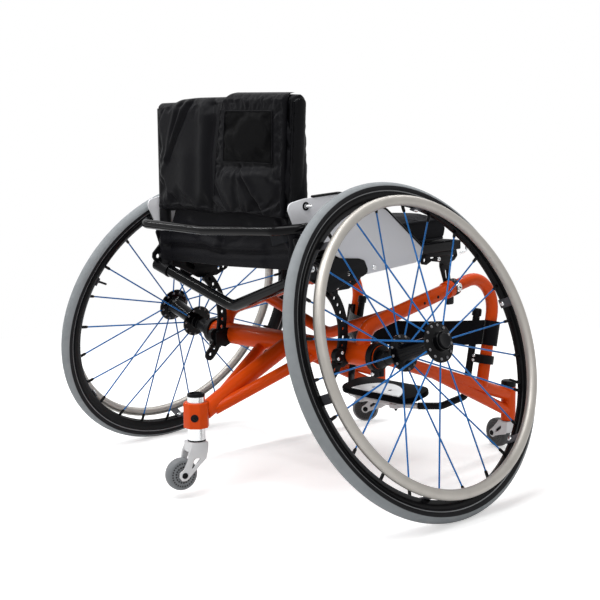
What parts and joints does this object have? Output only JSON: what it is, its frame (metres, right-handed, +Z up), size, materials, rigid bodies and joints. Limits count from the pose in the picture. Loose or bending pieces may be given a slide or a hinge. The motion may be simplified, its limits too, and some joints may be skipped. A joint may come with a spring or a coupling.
{
  "type": "basketball wheelchair",
  "caption": "Rigid-frame basketball wheelchair with steeply cambered drive wheels, a rear anti-tip caster, low padded back and clamped footrest.",
  "frame": {"origin": "on the floor, under the middle of the chair's outline", "axes": "+X to the chair's left, -Y to its front, +Z up"},
  "size_m": [0.933, 0.7808, 0.737],
  "materials": {
    "orange_frame_paint": "bright orange gloss paint",
    "black_anodised": "black, satin to gloss",
    "polished_aluminium": "polished silver metal",
    "light_grey_cast": "smooth light grey casting",
    "grey_tyre": "grey tread with darker sidewalls",
    "grey_caster_rubber": "dark grey rubber",
    "black_rim": "gloss black",
    "blue_spokes_and_hub": "blue spokes on a gloss black hub",
    "warm_grey_handrim": "satin warm grey metal",
    "black_fabric": "matt black cloth",
    "black_leather": "black leather, softly creased",
    "light_grey_guard": "light grey, satin"
  },
  "bodies": {
    "frame": {"axle_pin_left": "polished_aluminium", "axle_pin_right": "polished_aluminium", "back_bar": "black_anodised", "back_post_left": "black_anodised", "back_post_right": "black_anodised", "backrest_cushion": "black_leather", "calf_strap": "black_fabric", "camber_clamp_left": "black_anodised", "camber_clamp_right": "black_anodised", "camber_plug_left": "black_anodised", "camber_plug_right": "black_anodised", "cross_tube": "orange_frame_paint", "foot_bar": "light_grey_cast", "foot_post_left": "black_anodised", "foot_post_right": "black_anodised", "footplate": "black_anodised", "footplate_insert": "polished_aluminium", "front_loop_left": "orange_frame_paint", "front_loop_right": "orange_frame_paint", "lower_stay_left": "orange_frame_paint", "lower_stay_right": "orange_frame_paint", "lower_tube_left": "orange_frame_paint", "lower_tube_right": "orange_frame_paint", "rear_boom": "orange_frame_paint", "rear_fabric": "black_fabric", "rear_stem_tube": "polished_aluminium", "seat_arc_left": "black_anodised", "seat_arc_right": "black_anodised", "seat_bracket_left": "black_anodised", "seat_bracket_right": "black_anodised", "seat_cross_bar": "black_anodised", "seat_cushion": "black_fabric", "seat_post_left": "black_anodised", "seat_post_right": "black_anodised", "seat_rail_left": "black_anodised", "seat_rail_right": "black_anodised", "seat_sling": "black_fabric", "side_guard_left": "light_grey_guard", "side_guard_right": "light_grey_guard", "side_tube_left": "orange_frame_paint", "side_tube_right": "orange_frame_paint", "upper_tube_left": "orange_frame_paint", "upper_tube_right": "orange_frame_paint", "v_brace": "orange_frame_paint"},
    "wheel_left": {"tyre_left": "grey_tyre", "rim_left": "black_rim", "hub_left": "blue_spokes_and_hub", "handrim_left": "warm_grey_handrim"},
    "button_left": {"release_button_left": "black_anodised"},
    "wheel_right": {"tyre_right": "grey_tyre", "rim_right": "black_rim", "hub_right": "blue_spokes_and_hub", "handrim_right": "warm_grey_handrim"},
    "button_right": {"release_button_right": "black_anodised"},
    "swivel_left": {"caster_fork_left": "light_grey_cast"},
    "caster_left": {"caster_wheel_left": "grey_caster_rubber"},
    "swivel_right": {"caster_fork_right": "light_grey_cast"},
    "caster_right": {"caster_wheel_right": "grey_caster_rubber"},
    "swivel_rear": {"caster_fork_rear": "light_grey_cast"},
    "caster_rear": {"caster_wheel_rear": "grey_caster_rubber"}
  },
  "joints": [
    {"name": "wheel_left_spin", "type": "hinge", "parent": "frame", "child": "wheel_left", "pos_m": [0.34163, 0.08657, 0.28859], "axis": [0.9455, 0, 0.3256], "continuous": true},
    {"name": "wheel_right_spin", "type": "hinge", "parent": "frame", "child": "wheel_right", "pos_m": [-0.34163, 0.08657, 0.28859], "axis": [-0.9455, 0, 0.3256], "continuous": true},
    {"name": "button_left_press", "type": "slide", "parent": "frame", "child": "button_left", "axis": [-0.9455, 0, -0.3256], "range_m": [0, 0.0035], "stiffness_N_per_m": 400, "springref_m": -0.003},
    {"name": "button_right_press", "type": "slide", "parent": "frame", "child": "button_right", "axis": [0.9455, 0, -0.3256], "range_m": [0, 0.0035], "stiffness_N_per_m": 400, "springref_m": -0.003},
    {"name": "caster_left_swivel", "type": "hinge", "parent": "frame", "child": "swivel_left", "pos_m": [0.19, -0.36543, 0.0635], "axis": [0, 0, 1], "continuous": true},
    {"name": "caster_left_roll", "type": "hinge", "parent": "swivel_left", "child": "caster_left", "pos_m": [0.21378, -0.34402, 0.031], "axis": [-0.6691, 0.7431, 0], "continuous": true},
    {"name": "caster_right_swivel", "type": "hinge", "parent": "frame", "child": "swivel_right", "pos_m": [-0.19, -0.36543, 0.0635], "axis": [0, 0, 1], "continuous": true},
    {"name": "caster_right_roll", "type": "hinge", "parent": "swivel_right", "child": "caster_right", "pos_m": [-0.1587, -0.37208, 0.031], "axis": [0.2079, 0.9781, 0], "continuous": true},
    {"name": "caster_rear_swivel", "type": "hinge", "parent": "frame", "child": "swivel_rear", "pos_m": [0, 0.32057, 0.104], "axis": [0, 0, 1], "continuous": true},
    {"name": "caster_rear_roll", "type": "hinge", "parent": "swivel_rear", "child": "caster_rear", "pos_m": [0.00686, 0.35285, 0.045], "axis": [-0.9781, 0.2079, 0], "continuous": true}
  ]
}
